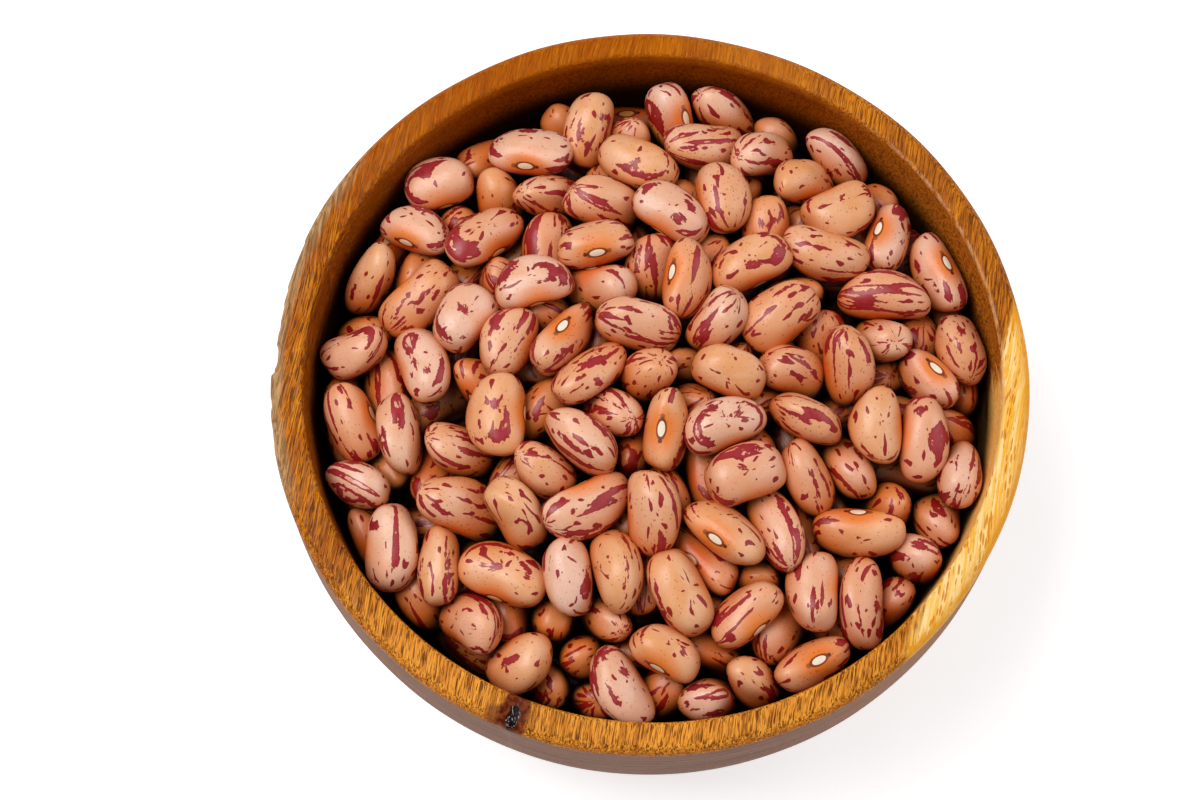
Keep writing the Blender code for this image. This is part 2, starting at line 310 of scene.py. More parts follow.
def bowl_side_steps():
    """Radius and height of each ring up the outer side and round the rim's outer edge."""
    steps = []
    shoulder = RIM_LEVEL - RIM_ROUND - SIDE_STRAIGHT
    for turn in range(TURN_STEP, 91, TURN_STEP):
        radius = FOOT_RADIUS + (RIM_RADIUS - FOOT_RADIUS) * math.sin(math.radians(turn))
        steps.append((radius, shoulder - shoulder * math.cos(math.radians(turn))))
    for rise in range(1, STRAIGHT_RINGS + 1):
        steps.append((RIM_RADIUS, shoulder + SIDE_STRAIGHT * rise / STRAIGHT_RINGS))
    for turn in range(RIM_TURN_STEP, 91, RIM_TURN_STEP):
        steps.append((
            RIM_RADIUS - RIM_ROUND + RIM_ROUND * math.cos(math.radians(turn)),
            RIM_LEVEL - RIM_ROUND + RIM_ROUND * math.sin(math.radians(turn))))
    return steps


def bowl_hollow_steps():
    """Radius and height of each ring over the rim's inner edge and down the hollow."""
    steps = []
    for turn in range(0, 90, CORNER_TURN_STEP):
        steps.append((
            HOLLOW_RADIUS + HOLLOW_ROUND * (1.0 - math.sin(math.radians(turn))),
            RIM_LEVEL - HOLLOW_ROUND * (1.0 - math.cos(math.radians(turn)))))
    for turn in range(TURN_STEP, 90, TURN_STEP):
        drop = (HOLLOW_DEPTH - HOLLOW_ROUND) * math.sin(math.radians(turn))
        height = RIM_LEVEL - HOLLOW_ROUND - drop
        steps.append((hollow_radius(height), height))
    return steps


def pull_ring(before, after, middle, shift=UNSHIFTED):
    """Pulls the selected ring of edges out into the next ring of the turned shape."""
    bpy.ops.mesh.extrude_edges_move()
    bpy.ops.transform.translate(value=(shift.x, shift.y, after[1] - before[1]))
    share = after[0] / before[0]
    bpy.ops.transform.resize(
        value=(share, share, 1.0), center_override=(middle.x, middle.y, after[1]))


deselect_all()
bpy.ops.mesh.primitive_circle_add(
    vertices=BOWL_SEGMENTS, radius=FOOT_RADIUS, fill_type="NGON", location=(0.0, 0.0, 0.0))
bowl = made_object("turned_bowl")
bpy.ops.object.mode_set(mode="EDIT")
bpy.ops.mesh.select_mode(type="FACE")
bpy.ops.mesh.select_all(action="SELECT")
bpy.ops.mesh.inset(thickness=FOOT_EDGE)
bpy.ops.mesh.inset(thickness=FOOT_RADIUS - FOOT_RING - FOOT_EDGE)
bpy.ops.mesh.inset(thickness=FOOT_STEP, depth=FOOT_SUNK)
for share in FOOT_INSETS:
    bpy.ops.mesh.inset(thickness=FOOT_RING * share)
bpy.ops.mesh.poke()
bpy.ops.object.mode_set(mode="OBJECT")


def mesh_places(mesh):
    """Places of all points of a mesh, one row for each."""
    places = np.empty(len(mesh.vertices) * 3)
    mesh.vertices.foreach_get("co", places)
    return places.reshape(-1, 3)


def select_ring(thing, radius, height):
    """Selects the open ring of edges at one radius and height."""
    mesh = thing.data
    x, y, z = mesh_places(mesh).T
    near = (np.abs(np.hypot(x, y) - radius) < TOUCHING) & (np.abs(z - height) < TOUCHING)
    mesh.polygons.foreach_set("select", np.zeros(len(mesh.polygons), bool))
    mesh.vertices.foreach_set("select", near)
    edges = np.empty(len(mesh.edges) * 2, int)
    mesh.edges.foreach_get("vertices", edges)
    mesh.edges.foreach_set("select", near[edges.reshape(-1, 2)].all(axis=1))


select_ring(bowl, FOOT_RADIUS, 0.0)
bpy.ops.object.mode_set(mode="EDIT")
bpy.ops.mesh.select_mode(type="EDGE")
ring = (FOOT_RADIUS, 0.0)
for following in bowl_side_steps():
    pull_ring(ring, following, UNSHIFTED)
    ring = following
for number, following in enumerate(bowl_hollow_steps()):
    pull_ring(ring, following, HOLLOW_SHIFT, HOLLOW_SHIFT if number == 0 else UNSHIFTED)
    ring = following
bpy.ops.mesh.edge_face_add()
bpy.ops.mesh.select_mode(type="FACE")
for share in HOLLOW_INSETS:
    bpy.ops.mesh.inset(thickness=ring[0] * share)
bpy.ops.mesh.poke()
bpy.ops.mesh.select_all(action="SELECT")
bpy.ops.mesh.remove_doubles(threshold=SAME_PLACE)
bpy.ops.mesh.normals_make_consistent(inside=False)
bpy.ops.object.mode_set(mode="OBJECT")


# Where the left edge is chipped away: from one angle to another, and how deep in millimetres.
CHIPS = (
    (160.5, 182.6, 0.22), (168.5, 182.6, 0.22), (171.2, 182.6, 0.20), (178.2, 181.2, 0.42),
    (174.4, 175.6, 0.14), (186.5, 188.2, 0.18), (190.6, 194.0, 0.12), (250.2, 251.2, 0.25))
CHIP_END = 0.25
RIM_ZONE = (0.0655, 0.0675)
SIDE_ZONE = (0.030, 0.050)
EDGE_ZONE = (0.0480, 0.0560)
TOP_ZONE = (0.0560, 0.0575)
OUT_OF_ROUND = 0.00012
KNOT_HALF = (0.0015, 0.0026)
KNOT_SUNK = 0.00045
KNOT_DIP = 0.00006
DIP_REACH = 2.2


def ramp(value, start, stop):
    """Goes from 0 to 1 while the value goes from start to stop."""
    return np.clip((value - start) / (stop - start), 0.0, 1.0)


def worn_bowl_places(places):
    """Small faults of the real bowl: a rim slightly out of round, chips on the left, the knot."""
    x, y, z = places.T
    away = np.hypot(x, y)
    angle = np.arctan2(y, x)
    outer = ramp(away, *RIM_ZONE) * ramp(z, *SIDE_ZONE)
    wave = np.sin(3 * angle + 0.4) + 0.6 * np.sin(7 * angle + 2.0) + 0.4 * np.sin(17 * angle)
    edge = ramp(z, *EDGE_ZONE)
    degrees = np.degrees(angle) % 360.0
    chips = np.zeros(len(x))
    for start, stop, depth in CHIPS:
        begun = ramp(degrees, start - CHIP_END, start + CHIP_END)
        unfinished = ramp(degrees, stop + CHIP_END, stop - CHIP_END)
        chips += 0.001 * depth * begun * unfinished * edge
    pull = outer * (OUT_OF_ROUND * (wave - 2.0) - chips)
    share = 1.0 + pull / np.maximum(away, 0.001)
    x, y = x * share, y * share
    off = np.hypot((x - KNOT.x) / KNOT_HALF[0], (y - KNOT.y) / KNOT_HALF[1])
    dip = KNOT_SUNK * np.exp(-off ** 4) + KNOT_DIP * np.exp(-(off / DIP_REACH) ** 2)
    z = z - dip * ramp(z, *TOP_ZONE)
    return np.stack((x, y, z), -1)


def moved_places(thing, rule):
    """Moves every point of a mesh by a rule."""
    thing.data.vertices.foreach_set("co", rule(mesh_places(thing.data)).ravel())
    thing.data.update()


moved_places(bowl, worn_bowl_places)
into_mesh(bowl)
bpy.ops.object.shade_smooth_by_angle(angle=SHARPEST_SMOOTH)


BAND_DARK = from_screen(156, 74, 2)
BAND_LIGHT = from_screen(196, 110, 4)
FRONT_GOLD_AND_SHEEN = from_screen(230, 150, 54)
BACK_LEFT_BROWN = from_screen(150, 68, 0)
BACK_RIGHT_TAN = from_screen(192, 124, 58)
ROUNDED_EDGE = from_screen(180, 90, 4)
STRIPE_BROWN = from_screen(142, 72, 6)
LIGHT_FIBRE = from_screen(212, 136, 26)
LIGHT_FRONT_FIBRE = from_screen(236, 166, 62)
DARK_FIBRE = from_screen(108, 54, 10)
DARK_FRONT_FIBRE = from_screen(142, 78, 20)
HAIR_BROWN = from_screen(88, 42, 10)
DARK_GREY_HAIR = from_screen(104, 72, 44)
LIGHT_GREY_HAIR = from_screen(162, 126, 90)
PORE_BROWN = from_screen(88, 44, 14)
HOLLOW_TONE_AND_SHADE_DARK = from_screen(88, 30, 2)
HOLLOW_TONE_AND_SHADE_LIGHT = from_screen(152, 70, 6)
HOLLOW_RIGHT_TONE_AND_SHADE_DARK = from_screen(124, 60, 8)
HOLLOW_RIGHT_TONE_AND_SHADE_LIGHT = from_screen(214, 132, 42)
HOLLOW_PAINTED_SHADE = from_screen(18, 6, 2)
SAP_PALE = from_screen(236, 188, 98)
SAP_GOLD = from_screen(234, 168, 48)
SAP_FIBRE = from_screen(246, 214, 154)
SAP_TICK = from_screen(198, 112, 14)
SAP_OUTER_EDGE = from_screen(230, 152, 22)
SAP_HOLLOW_TONE_AND_LIGHT_DARK = from_screen(248, 160, 66)
SAP_HOLLOW_TONE_AND_LIGHT_LIGHT = from_screen(255, 200, 112)
CORNER_PAINTED_HIGHLIGHT = from_screen(228, 178, 130)
RAW_DARK = from_screen(122, 88, 50)
RAW_LIGHT = from_screen(186, 150, 106)
KNOT_RING = from_screen(112, 56, 30)
KNOT_HALO_DARK = from_screen(70, 14, 3)
KNOT_HALO_LIGHT = from_screen(118, 50, 18)
RESIN = from_screen(20, 9, 10)
RESIN_PAINTED_HIGHLIGHT = from_screen(168, 158, 158)
DULL_DARK = from_screen(120, 90, 76)
DULL_LIGHT = from_screen(150, 114, 98)
DULL_RIGHT = from_screen(170, 118, 80)
DULL_LEFT = from_screen(154, 116, 84)
DULL_PORE = from_screen(84, 60, 50)

# How often a marking of the wood repeats in a millimetre: across the grain, along it and upwards.
BAND_REPEAT = (0.17, 0.010, 0.12)
STRIPE_REPEAT = (0.62, 0.022, 0.5)
FIBRE_REPEAT = (2.3, 0.09, 2.3)
HAIR_REPEAT = (4.6, 0.30, 4.6)
GREY_HAIR_REPEAT = (2.6, 0.05, 2.6)
PORE_REPEAT = (2.7, 0.22, 2.7)
PORE_ROW_REPEAT = (0.7, 0.06, 0.7)
TICK_REPEAT = (2.3, 0.36, 2.3)
TICK_ROW_REPEAT = (0.5, 0.06, 0.5)
DRIFT_REPEAT = (0.035, 0.02, 0.035)
SPECKLE_REPEAT = (2.4, 1.4, 1.6)
PAINTED_GLINT_REPEAT = (3.4, 1.5, 3.4)
TURNING_REPEAT = (0.03, 0.03, 1.6)
GRAIN_LEAN = math.radians(7.0)
KNOT_LEAN = 0.22
SAP_LINE = (0.960, 0.281)
WAX_SPECULAR = 0.05


def wood_finish():
    wood = Finish("waxed_brown_wood")
    place = wood.vector_of("MULTIPLY", wood.objects(), (1000.0, 1000.0, 1000.0))
    x, y, z = wood.parts(place)
    away = wood.length_of(x, y)

    # Distance from the knot's middle, in sizes of the knot. The grain swirls round it.
    knot_x = wood.minus(x, KNOT.x * 1000.0)
    knot_y = wood.minus(y, KNOT.y * 1000.0)
    knot_across = wood.minus(knot_x, wood.times(knot_y, KNOT_LEAN))
    knot_off = wood.length_of(wood.over(knot_across, 1.35), wood.over(knot_y, 2.75))
    knot_off = wood.added(knot_off, wood.noise(place, 1.3, 3.0), 0.7)
    swirl = wood.times(wood.slope(knot_off, 0.8, 5.0, 1.0, 0.0), wood.times(knot_across, -0.35))
    u, v, w = wood.parts(wood.stretched(place, (1.0, 1.0, 1.0), (0.0, 0.0, GRAIN_LEAN)))
    drift = wood.noise(wood.stretched(place, DRIFT_REPEAT), 1.0, 1.0)
    u = wood.plus(u, wood.times(drift, 5.0))
    grain = wood.joined(wood.plus(u, swirl), v, w)

    # Growth rings: broad light and dark bands, narrower stripes in them, then fine fibres.
    bands = wood.noise(wood.stretched(grain, BAND_REPEAT), 1.0, 3.0, 0.55)
    stripes = wood.noise(wood.stretched(grain, STRIPE_REPEAT), 1.0, 3.0, 0.6)
    fibres = wood.noise(wood.stretched(grain, FIBRE_REPEAT), 1.0, 4.0, 0.7)
    hairs = wood.noise(wood.stretched(grain, HAIR_REPEAT), 1.0, 2.0, 0.6)
    grey_hairs = wood.noise(wood.stretched(grain, GREY_HAIR_REPEAT), 1.0, 2.0, 0.6)
    at_front = wood.slope(y, -30.0, -60.0)
    at_left = wood.slope(x, -30.0, -62.0)
    at_back_left = wood.slope(wood.minus(y, x), 50.0, 84.0)
    at_back_right = wood.slope(wood.plus(y, x), 60.0, 88.0)
    lively = wood.slope(y, 52.0, 10.0, 0.4, 1.0)
    lively = wood.sum_of("MAXIMUM", lively, wood.slope(x, 8.0, 38.0, 0.0, 0.85))
    lively = wood.times(lively, wood.slope(y, -30.0, -60.0, 1.0, 0.9))
    body = wood.mixed(wood.slope(bands, 0.36, 0.64), BAND_DARK, BAND_LIGHT)
    # Lighter gold at the front: partly the wood's tone, partly a painted sheen.
    body = wood.mixed(wood.times(at_front, 0.75), body, FRONT_GOLD_AND_SHEEN)
    body = wood.mixed(wood.times(at_back_left, 0.7), body, BACK_LEFT_BROWN)
    body = wood.mixed(wood.times(at_back_right, 0.25), body, BACK_RIGHT_TAN)
    body = wood.mixed(wood.slope(z, 59.8, 58.6, 0.0, 0.6), body, ROUNDED_EDGE)
    light_fibre = wood.mixed(at_front, LIGHT_FIBRE, LIGHT_FRONT_FIBRE)
    dark_fibre = wood.mixed(at_front, DARK_FIBRE, DARK_FRONT_FIBRE)
    for share, colour in (
            (wood.slope(stripes, 0.50, 0.68, 0.0, 0.7), STRIPE_BROWN),
            (wood.slope(fibres, 0.50, 0.64, 0.0, 0.85), light_fibre),
            (wood.slope(fibres, 0.48, 0.38, 0.0, 0.9), dark_fibre),
            (wood.slope(hairs, 0.50, 0.40, 0.0, 0.9), HAIR_BROWN)):
        body = wood.mixed(wood.times(share, lively), body, colour)
    body = wood.mixed(
        wood.times(wood.slope(grey_hairs, 0.54, 0.64, 0.0, 0.45), at_left), body,
        wood.mixed(hairs, DARK_GREY_HAIR, LIGHT_GREY_HAIR))

    # Pores: long thin vessels along the grain, seen as ticks on top and as dots on the end grain.
    long_pores = wood.cells(wood.stretched(grain, PORE_REPEAT))[0]
    most_pores = wood.plus(0.30, wood.times(at_front, 0.06))
    pore_rows = wood.noise(wood.stretched(grain, PORE_ROW_REPEAT), 1.0, 2.0)
    pore_rows = wood.slope(pore_rows, 0.36, 0.60, 0.08, most_pores)
    pores = wood.slope(wood.minus(pore_rows, long_pores), -0.02, 0.05)
    pores = wood.times(pores, wood.slope(y, 52.0, 10.0, 0.2, 0.85))
    body = wood.mixed(pores, body, PORE_BROWN)

    # Hollow: a redder brown than the rim, with a fine dark speckle, and golden on the right. The tint
    # is partly the wood's tone and partly painted shade: it deepens down the wall and is weaker on the
    # left.
    hollow = wood.attribute("hollow_side")[2]
    speckle = wood.noise(wood.stretched(place, SPECKLE_REPEAT), 1.0, 3.0, 0.7)
    coarse_speckle = wood.slope(speckle, 0.36, 0.62)
    crisp_speckle = wood.slope(speckle, 0.38, 0.58)
    # Painted shade on the hollow's wall: stronger further down, weaker on the left.
    hollow_tone_and_shade = wood.times(hollow, wood.slope(z, 59.4, 56.8, 0.1, 0.8))
    hollow_tone_and_shade = wood.times(hollow_tone_and_shade, wood.slope(x, -56.0, -30.0, 0.4, 1.0))
    body = wood.mixed(hollow_tone_and_shade, body, wood.mixed(
        wood.slope(x, 24.0, 52.0, 0.0, 0.6), wood.mixed(coarse_speckle, HOLLOW_TONE_AND_SHADE_DARK, HOLLOW_TONE_AND_SHADE_LIGHT),
        wood.mixed(crisp_speckle, HOLLOW_RIGHT_TONE_AND_SHADE_DARK, HOLLOW_RIGHT_TONE_AND_SHADE_LIGHT)))

    # Sapwood: a pale belt over the right side, past a nearly straight line.
    line = wood.minus(wood.times(x, SAP_LINE[0]), wood.times(y, SAP_LINE[1]))
    line = wood.added(wood.added(line, stripes, 9.0), bands, 5.0)
    pale = wood.mixed(wood.slope(stripes, 0.40, 0.62), SAP_PALE, SAP_GOLD)
    pale = wood.mixed(wood.slope(fibres, 0.45, 0.62, 0.0, 0.85), pale, SAP_FIBRE)
    ticks = wood.cells(wood.stretched(grain, TICK_REPEAT))[0]
    tick_rows = wood.noise(wood.stretched(grain, TICK_ROW_REPEAT), 1.0, 2.0)
    tick_rows = wood.slope(tick_rows, 0.34, 0.60, 0.08, 0.42)
    pale = wood.mixed(wood.slope(wood.minus(tick_rows, ticks), -0.07, 0.08, 0.0, 0.8), pale, SAP_TICK)
    ragged_away = wood.plus(away, wood.times(stripes, 4.0))
    pale = wood.mixed(wood.slope(ragged_away, 69.4, 71.6, 0.0, 0.85), pale, SAP_OUTER_EDGE)
    # On the hollow's wall the sapwood is brighter and warmer: partly its own tone, partly painted light
    # against the wall's shade.
    pale = wood.mixed(
        wood.times(hollow, 0.8), pale, wood.mixed(crisp_speckle, SAP_HOLLOW_TONE_AND_LIGHT_DARK, SAP_HOLLOW_TONE_AND_LIGHT_LIGHT))
    body = wood.mixed(wood.slope(line, 59.0, 61.4), body, pale)

    # Painted highlight: a pale line along the hollow's rounded corner on the right.
    corner_highlight = wood.times(wood.slope(away, 66.6, 66.0), wood.slope(z, 59.98, 59.80, 0.0, 0.42))
    for limit in (wood.slope(z, 58.9, 59.4), wood.slope(x, 34.0, 50.0),
                  wood.slope(y, -20.0, 0.0), wood.slope(stripes, 0.40, 0.56)):
        corner_highlight = wood.times(corner_highlight, limit)
    body = wood.mixed(corner_highlight, body, CORNER_PAINTED_HIGHLIGHT)
    # Painted shade: the hollow's wall goes near black further down.
    body = wood.mixed(wood.times(hollow, wood.slope(z, 53.5, 46.0, 0.0, 0.96)), body, HOLLOW_PAINTED_SHADE)

    # Raw fibre along the chipped left edge.
    raw = wood.times(
        wood.slope(ragged_away, 68.6, 70.2),
        wood.slope(wood.plus(x, wood.times(y, -0.10)), -58.0, -64.0))
    body = wood.mixed(
        wood.times(raw, 0.8), body, wood.mixed(wood.slope(fibres, 0.38, 0.62), RAW_DARK, RAW_LIGHT))

    # Knot: black and resinous in the middle, with painted highlights on the resin, a dark red halo, and
    # a greyed ring on its left.
    ring_x = wood.over(wood.plus(knot_x, 3.1), 1.9)
    ring_y = wood.over(wood.minus(knot_y, 0.2), 1.8)
    ring_off = wood.plus(wood.times(ring_x, ring_x), wood.times(ring_y, ring_y))
    body = wood.mixed(wood.slope(ring_off, 0.35, 1.5, 0.75, 0.0), body, KNOT_RING)
    halo = wood.slope(wood.noise(place, 0.9, 3.0), 0.40, 0.62)
    body = wood.mixed(
        wood.slope(knot_off, 1.7, 2.5, 0.96, 0.0), body,
        wood.mixed(halo, KNOT_HALO_DARK, KNOT_HALO_LIGHT))
    resin = wood.slope(knot_off, 0.70, 0.95, 1.0, 0.0)
    # Painted highlights: pale streaks on the black resin.
    painted_glints = wood.noise(wood.stretched(place, PAINTED_GLINT_REPEAT), 1.0, 2.0)
    painted_glints = wood.slope(painted_glints, 0.57, 0.66, 0.0, 0.7)
    body = wood.mixed(resin, body, wood.mixed(painted_glints, RESIN, RESIN_PAINTED_HIGHLIGHT))

    # Outer side: rougher, and grey-brown under the rounded rim.
    wax_line = wood.slope(wood.plus(z, wood.times(fibres, 0.2)), 58.02, 58.16, 1.0, 0.0)
    outside = wood.times(wood.attribute("outer_side")[2], wax_line)
    turning = wood.noise(wood.stretched(place, TURNING_REPEAT), 1.0, 4.0, 0.65)
    dull = wood.mixed(wood.slope(turning, 0.34, 0.66), DULL_DARK, DULL_LIGHT)
    dull = wood.mixed(wood.times(wood.slope(x, 20.0, 60.0), 0.5), dull, DULL_RIGHT)
    dull = wood.mixed(wood.slope(x, -35.0, -64.0, 0.0, 0.45), dull, DULL_LEFT)
    dull = wood.mixed(wood.times(pores, 0.4), dull, DULL_PORE)
    body = wood.mixed(outside, body, dull)

    shine = wood.slope(fibres, 0.3, 0.7, 0.34, 0.46)
    shine = wood.plus(shine, wood.times(outside, 0.30))
    shine = wood.minus(shine, wood.times(resin, 0.2))
    wood.shader.inputs["Specular IOR Level"].default_value = WAX_SPECULAR
    normal = wood.relief(wood.minus(wood.times(fibres, 0.35), pores), 0.00012, 0.8)
    normal = wood.relief(wood.noise(place, 2.6, 3.0, 0.6), 0.00008, 0.6, normal)
    return wood.show(body, shine, normal)


FLOOR_OF_HOLLOW = 0.0095
HOLLOW_EDGE = 0.0593
OUTER_SIDE_OFF = 0.0012
HOLLOW_SIDE_OFF = 0.0004


def mark_sides(thing):
    """Marks the outer side and the wall of the hollow, each with an attribute of its own."""
    x, y, z = mesh_places(thing.data).T
    beyond = np.hypot(x - HOLLOW_SHIFT.x, y - HOLLOW_SHIFT.y) - hollow_radius(z)
    outer = (beyond > OUTER_SIDE_OFF) | (z < FLOOR_OF_HOLLOW)
    within = (beyond < HOLLOW_SIDE_OFF) & (z > FLOOR_OF_HOLLOW) & (z < HOLLOW_EDGE)
    for label, chosen in (("outer_side", outer), ("hollow_side", within)):
        mark = thing.data.attributes.new(label, "FLOAT", "POINT")
        mark.data.foreach_set("value", chosen.astype(np.float32))


mark_sides(bowl)
bowl.data.materials.append(wood_finish())
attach(bowl, "root")
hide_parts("bowl")


# Dried beans: borlotti beans, poured in loose. Each is hard and smooth, blunt at both ends and a
# little bent, tan with wine-red streaks, and has a cream scar where it hung in its pod.
BEANS = 292
BEAN_SIZE = np.array((0.0151, 0.0096, 0.0080))
BEAN_STRAY = np.array((0.0026, 0.0012, 0.0009))
BEAN_BEND = 0.0011
BEAN_SEED = 11
HEAP_RISE = 0.0032
HEAP_FALL = 0.0110
LAYERS_DEPTH = 0.0260
LID_RISE = 0.0020
WALL_GAP = 0.0004
DEEPEST_BALL = 0.99
DEEPEST_POINT = 0.999
LEVEL_STEP = 0.0105
LEVEL_SPACING = 0.0118
LEVEL_TRIES = 260
SINK_SWEEPS = 560
REST_SWEEPS = 140
SINK_STEP = 0.0003
GRIP = 0.35
NEAR = 0.0195
NEAR_SWEEPS = 6
EASE = 0.65
EASE_OF_TURNING = 5.0
MOST_TURN = 0.15
LOWEST_LEVEL = 0.6
SLOW_DOWN = 2.5
TINY = 1e-9
LYING = (1.0, 1.0, 0.5)
END_BALL = 0.97
SIDE_BALL_PLACE = 0.42
END_BEND = 0.5
SIDE_BEND = -0.3


def heap_height(square):
    """Height that the tops of the beans reach, from the squared distance from the middle."""
    return RIM_LEVEL + HEAP_RISE - HEAP_FALL * square / (HOLLOW_RADIUS * HOLLOW_RADIUS)


def dot(p, q):
    return p[..., 0] * q[..., 0] + p[..., 1] * q[..., 1] + p[..., 2] * q[..., 2]


def cross(p, q):
    return np.stack((
        p[..., 1] * q[..., 2] - p[..., 2] * q[..., 1],
        p[..., 2] * q[..., 0] - p[..., 0] * q[..., 2],
        p[..., 0] * q[..., 1] - p[..., 1] * q[..., 0]), -1)


def squared_up(x, y):
    """Axes of length one at right angles, the first along x and the second near y."""
    x = x / np.sqrt(dot(x, x))[:, None]
    y = y - x * dot(x, y)[:, None]
    y = y / np.sqrt(dot(y, y))[:, None]
    return x, y


class Beans:
    """All the beans of the heap. Six balls along its curve stand for each, two at the ends
    and four in the middle, so that a bean meets its neighbours as its own shape would."""

    def __init__(self, seed):
        self.rng = random.Random(seed)
        self.half = 0.5 * (BEAN_SIZE + 0.5 * BEAN_STRAY * (self.draws(BEANS, 3) + self.draws(BEANS, 3)))
        self.centre = self.loose_levels()
        self.x, self.y = squared_up(self.draws(BEANS, 3) * LYING, self.draws(BEANS, 3))
        length, width, thick = self.half.T
        level = np.zeros(BEANS)
        offsets = []
        radii = []
        for end in (-1, 1):
            offsets.append((end * (length - END_BALL * thick), level + END_BEND * BEAN_BEND))
            radii.append(END_BALL * thick)
            for side in (-1, 1):
                along = end * SIDE_BALL_PLACE * (length - thick)
                offsets.append((along, side * (width - thick) + SIDE_BEND * BEAN_BEND))
                radii.append(thick)
        self.offsets = np.array(offsets).transpose(2, 0, 1)
        self.radii = np.array(radii).T
        self.ease_of_turning = EASE_OF_TURNING / (length * length + width * width)

    def draws(self, *shape):
        """Random numbers from -1 to 1."""
        count = math.prod(shape)
        return np.array([2.0 * self.rng.random() - 1.0 for _ in range(count)]).reshape(shape)

    def loose_levels(self):
        """Starting places: one loose level of beans over another, from the core up."""
        limit = HOLLOW_RADIUS - BEAN_SIZE[2]
        places = []
        height = LOWEST_LEVEL * LEVEL_STEP - LAYERS_DEPTH
        while len(places) < BEANS:
            level = []
            for x, y in self.draws(LEVEL_TRIES, 2) * limit:
                square = x * x + y * y
                spaced = all((x - p) ** 2 + (y - q) ** 2 > LEVEL_SPACING ** 2 for p, q, _ in level)
                if square < limit * limit and spaced:
                    level.append((x, y, heap_height(square) + height))
            places += level
            height += LEVEL_STEP
        return np.array(places[:BEANS])

    def arms(self):
        """From each bean's middle to its balls."""
        along = self.x[:, None, :] * self.offsets[:, :, 0:1]
        across = self.y[:, None, :] * self.offsets[:, :, 1:2]
        return along + across

    def push(self, owner, arm, way, depth):
        """Moves and turns beans so that each contact along way gives by its depth."""
        lever = cross(arm, way)
        for axis in range(3):
            self.move[:, axis] += np.bincount(owner, depth * way[:, axis], BEANS)
            turned = depth * lever[:, axis] * self.ease_of_turning[owner]
            self.turn[:, axis] += np.bincount(owner, turned, BEANS)

    def yielding(self, owner, arm, way):
        """How easily beans give way to a push, by moving and by turning."""
        lever = cross(arm, way)
        return 1.0 + dot(lever, lever) * self.ease_of_turning[owner]

    def meet_neighbours(self, arms, balls, first, second):
        """Pushes apart the beans whose balls overlap."""
        apart = balls[first][:, :, None, :] - balls[second][:, None, :, :]
        distance = np.sqrt(dot(apart, apart)) + TINY
        depth = self.radii[first][:, :, None] + self.radii[second][:, None, :] - distance
        pair, p, q = np.nonzero(depth > 0)
        way = apart[pair, p, q] / distance[pair, p, q][:, None]
        shared = np.sqrt(np.bincount(pair, minlength=len(first))[pair])
        one, other = first[pair], second[pair]
        give = self.yielding(one, arms[one, p], way) + self.yielding(other, arms[other, q], way)
        depth = depth[pair, p, q] / (give * shared)
        self.push(one, arms[one, p], way, depth)
        self.push(other, arms[other, q], -way, depth)

    def meet_bowl(self, arms, balls):
        """Keeps every ball inside the wall, over the core and under the lid of the heap."""
        owner = np.repeat(np.arange(BEANS), self.radii.shape[1])
        arm = arms.reshape(-1, 3)
        ball = balls.reshape(-1, 3)
        size = self.radii.reshape(-1)
        square = ball[:, 0] * ball[:, 0] + ball[:, 1] * ball[:, 1]
        away = np.sqrt(square) + TINY
        level = np.zeros(len(ball))
        room = hollow_radius(ball[:, 2], DEEPEST_BALL) - WALL_GAP
        top = heap_height(square)
        limits = (
            (away + size - room, np.stack((-ball[:, 0] / away, -ball[:, 1] / away, level), -1)),
            (top - LAYERS_DEPTH + size - ball[:, 2], np.stack((level, level, level + 1.0), -1)),
            (ball[:, 2] + size - top - LID_RISE, np.stack((level, level, level - 1.0), -1)))
        for depth, way in limits[:2 + self.lid_on]:
            hit = np.nonzero(depth > 0)[0]
            give = self.yielding(owner[hit], arm[hit], way[hit])
            self.push(owner[hit], arm[hit], way[hit], depth[hit] / give)

    def settle(self):
        """Lets the beans sink, meet and come to rest."""
        slope = -2.0 * GRIP * HEAP_FALL / (HOLLOW_RADIUS * HOLLOW_RADIUS)
        for sweep in range(SINK_SWEEPS + REST_SWEEPS):
            left = max(0.0, 1.0 - sweep / SINK_SWEEPS)
            sink = SINK_STEP * min(1.0, SLOW_DOWN * left)
            self.lid_on = sweep > SINK_SWEEPS // 2
            down = np.stack((slope * self.centre[:, 0], slope * self.centre[:, 1], -np.ones(BEANS)), -1)
            self.centre = self.centre + sink * down
            if sweep % NEAR_SWEEPS == 0:
                apart = self.centre[:, None, :] - self.centre[None, :, :]
                first, second = np.nonzero(np.triu(dot(apart, apart) < NEAR * NEAR, 1))
            self.move = np.zeros((BEANS, 3))
            self.turn = np.zeros((BEANS, 3))
            arms = self.arms()
            balls = self.centre[:, None, :] + arms
            self.meet_neighbours(arms, balls, first, second)
            self.meet_bowl(arms, balls)
            self.centre = np.round(self.centre + EASE * self.move, 7)
            turn = EASE * self.turn
            turn = turn * np.minimum(1.0, MOST_TURN / (np.sqrt(dot(turn, turn)) + TINY))[:, None]
            x, y = squared_up(self.x + cross(turn, self.x), self.y + cross(turn, self.y))
            self.x, self.y = np.round(x, 6), np.round(y, 6)

    def axes(self, number):
        """The bean's length, width and thickness directions, as columns."""
        x, y = squared_up(self.x[number:number + 1], self.y[number:number + 1])
        return np.stack((x[0], y[0], cross(x, y)[0]), -1)


